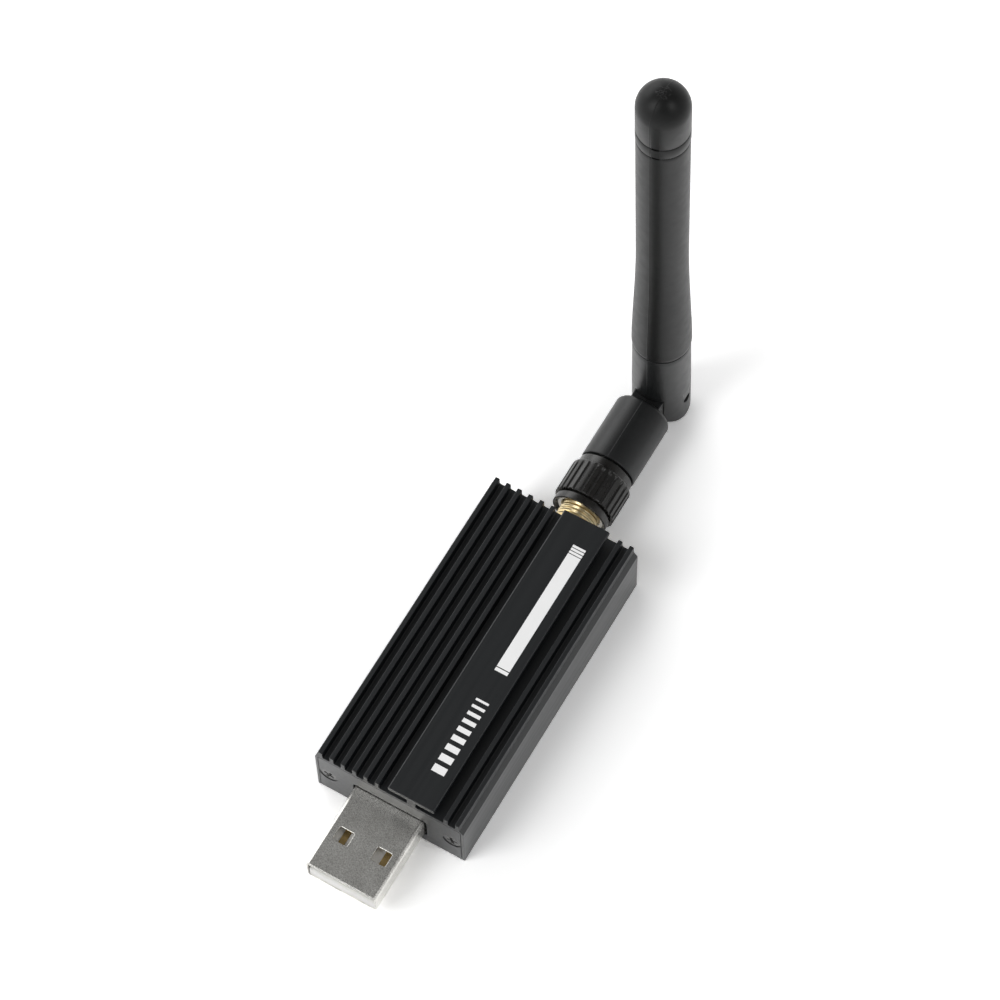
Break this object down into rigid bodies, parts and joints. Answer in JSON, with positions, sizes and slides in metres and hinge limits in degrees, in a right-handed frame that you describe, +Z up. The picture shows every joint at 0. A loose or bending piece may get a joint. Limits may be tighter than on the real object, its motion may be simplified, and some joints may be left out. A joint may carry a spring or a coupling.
{
  "type": "smart home usb radio stick",
  "caption": "Smart home USB radio stick: a finned aluminium case with a plug at one end and a tilting, turning antenna on a screw coupling at the other.",
  "frame": {"origin": "centre of the case's flat bottom", "axes": "+Z up from the table, +Y along the case from the plug to the antenna, +X to the side that the label rail is nearer"},
  "size_m": [0.0254, 0.1005, 0.0952],
  "materials": {
    "black_anodised_case": "matte anodised",
    "black_screws": "black plated",
    "plug_steel": "nickel plated",
    "plug_plastic": "white moulded",
    "gold_contacts": "gold plated",
    "board": "black solder mask",
    "chips": "matte moulded",
    "crystals": "metal lid",
    "capacitors": "ceramic",
    "gold_jack": "gold plated",
    "white_insulator": "smooth",
    "nickel_brass": "nickel plated",
    "antenna_plastic": "satin moulded",
    "radiator_brass": "bare"
  },
  "bodies": {
    "stick": {"heat_sink_cover": "black_anodised_case", "base_tray": "black_anodised_case", "front_screws": "black_screws", "rear_screws": "black_screws", "plug_shell": "plug_steel", "plug_insulator": "plug_plastic", "outer_contact_left": "gold_contacts", "outer_contact_right": "gold_contacts", "inner_contact_left": "gold_contacts", "inner_contact_right": "gold_contacts", "circuit_board": "board", "radio_chip": "chips", "bridge_chip": "chips", "voltage_regulator": "chips", "radio_crystal": "crystals", "clock_crystal": "crystals", "capacitors": "capacitors", "jack_body": "gold_jack", "jack_insulator": "white_insulator", "jack_contact": "gold_contacts"},
    "coupling_nut": {"coupling_grip": "antenna_plastic", "coupling_insert": "nickel_brass"},
    "antenna": {"connector_ferrule": "nickel_brass", "connector_insulator": "white_insulator", "connector_pin": "gold_contacts", "antenna_base": "antenna_plastic"},
    "whip": {"hinge_pins": "antenna_plastic", "whip_fork": "antenna_plastic", "whip_sleeve": "antenna_plastic", "radiator_core": "radiator_brass", "radiator_skirt": "radiator_brass"}
  },
  "joints": [
    {"name": "coupling_turn", "type": "hinge", "parent": "stick", "child": "coupling_nut", "pos_m": [0.0004, 0.03, 0.0054], "axis": [0, 1, 0], "continuous": true},
    {"name": "antenna_swivel", "type": "hinge", "parent": "stick", "child": "antenna", "pos_m": [0.0004, 0.04, 0.0054], "axis": [0, 1, 0], "continuous": true},
    {"name": "antenna_tilt", "type": "hinge", "parent": "antenna", "child": "whip", "pos_m": [0.0004, 0.0558, 0.0054], "axis": [1, 0, 0], "range_deg": [-92, 0]}
  ]
}
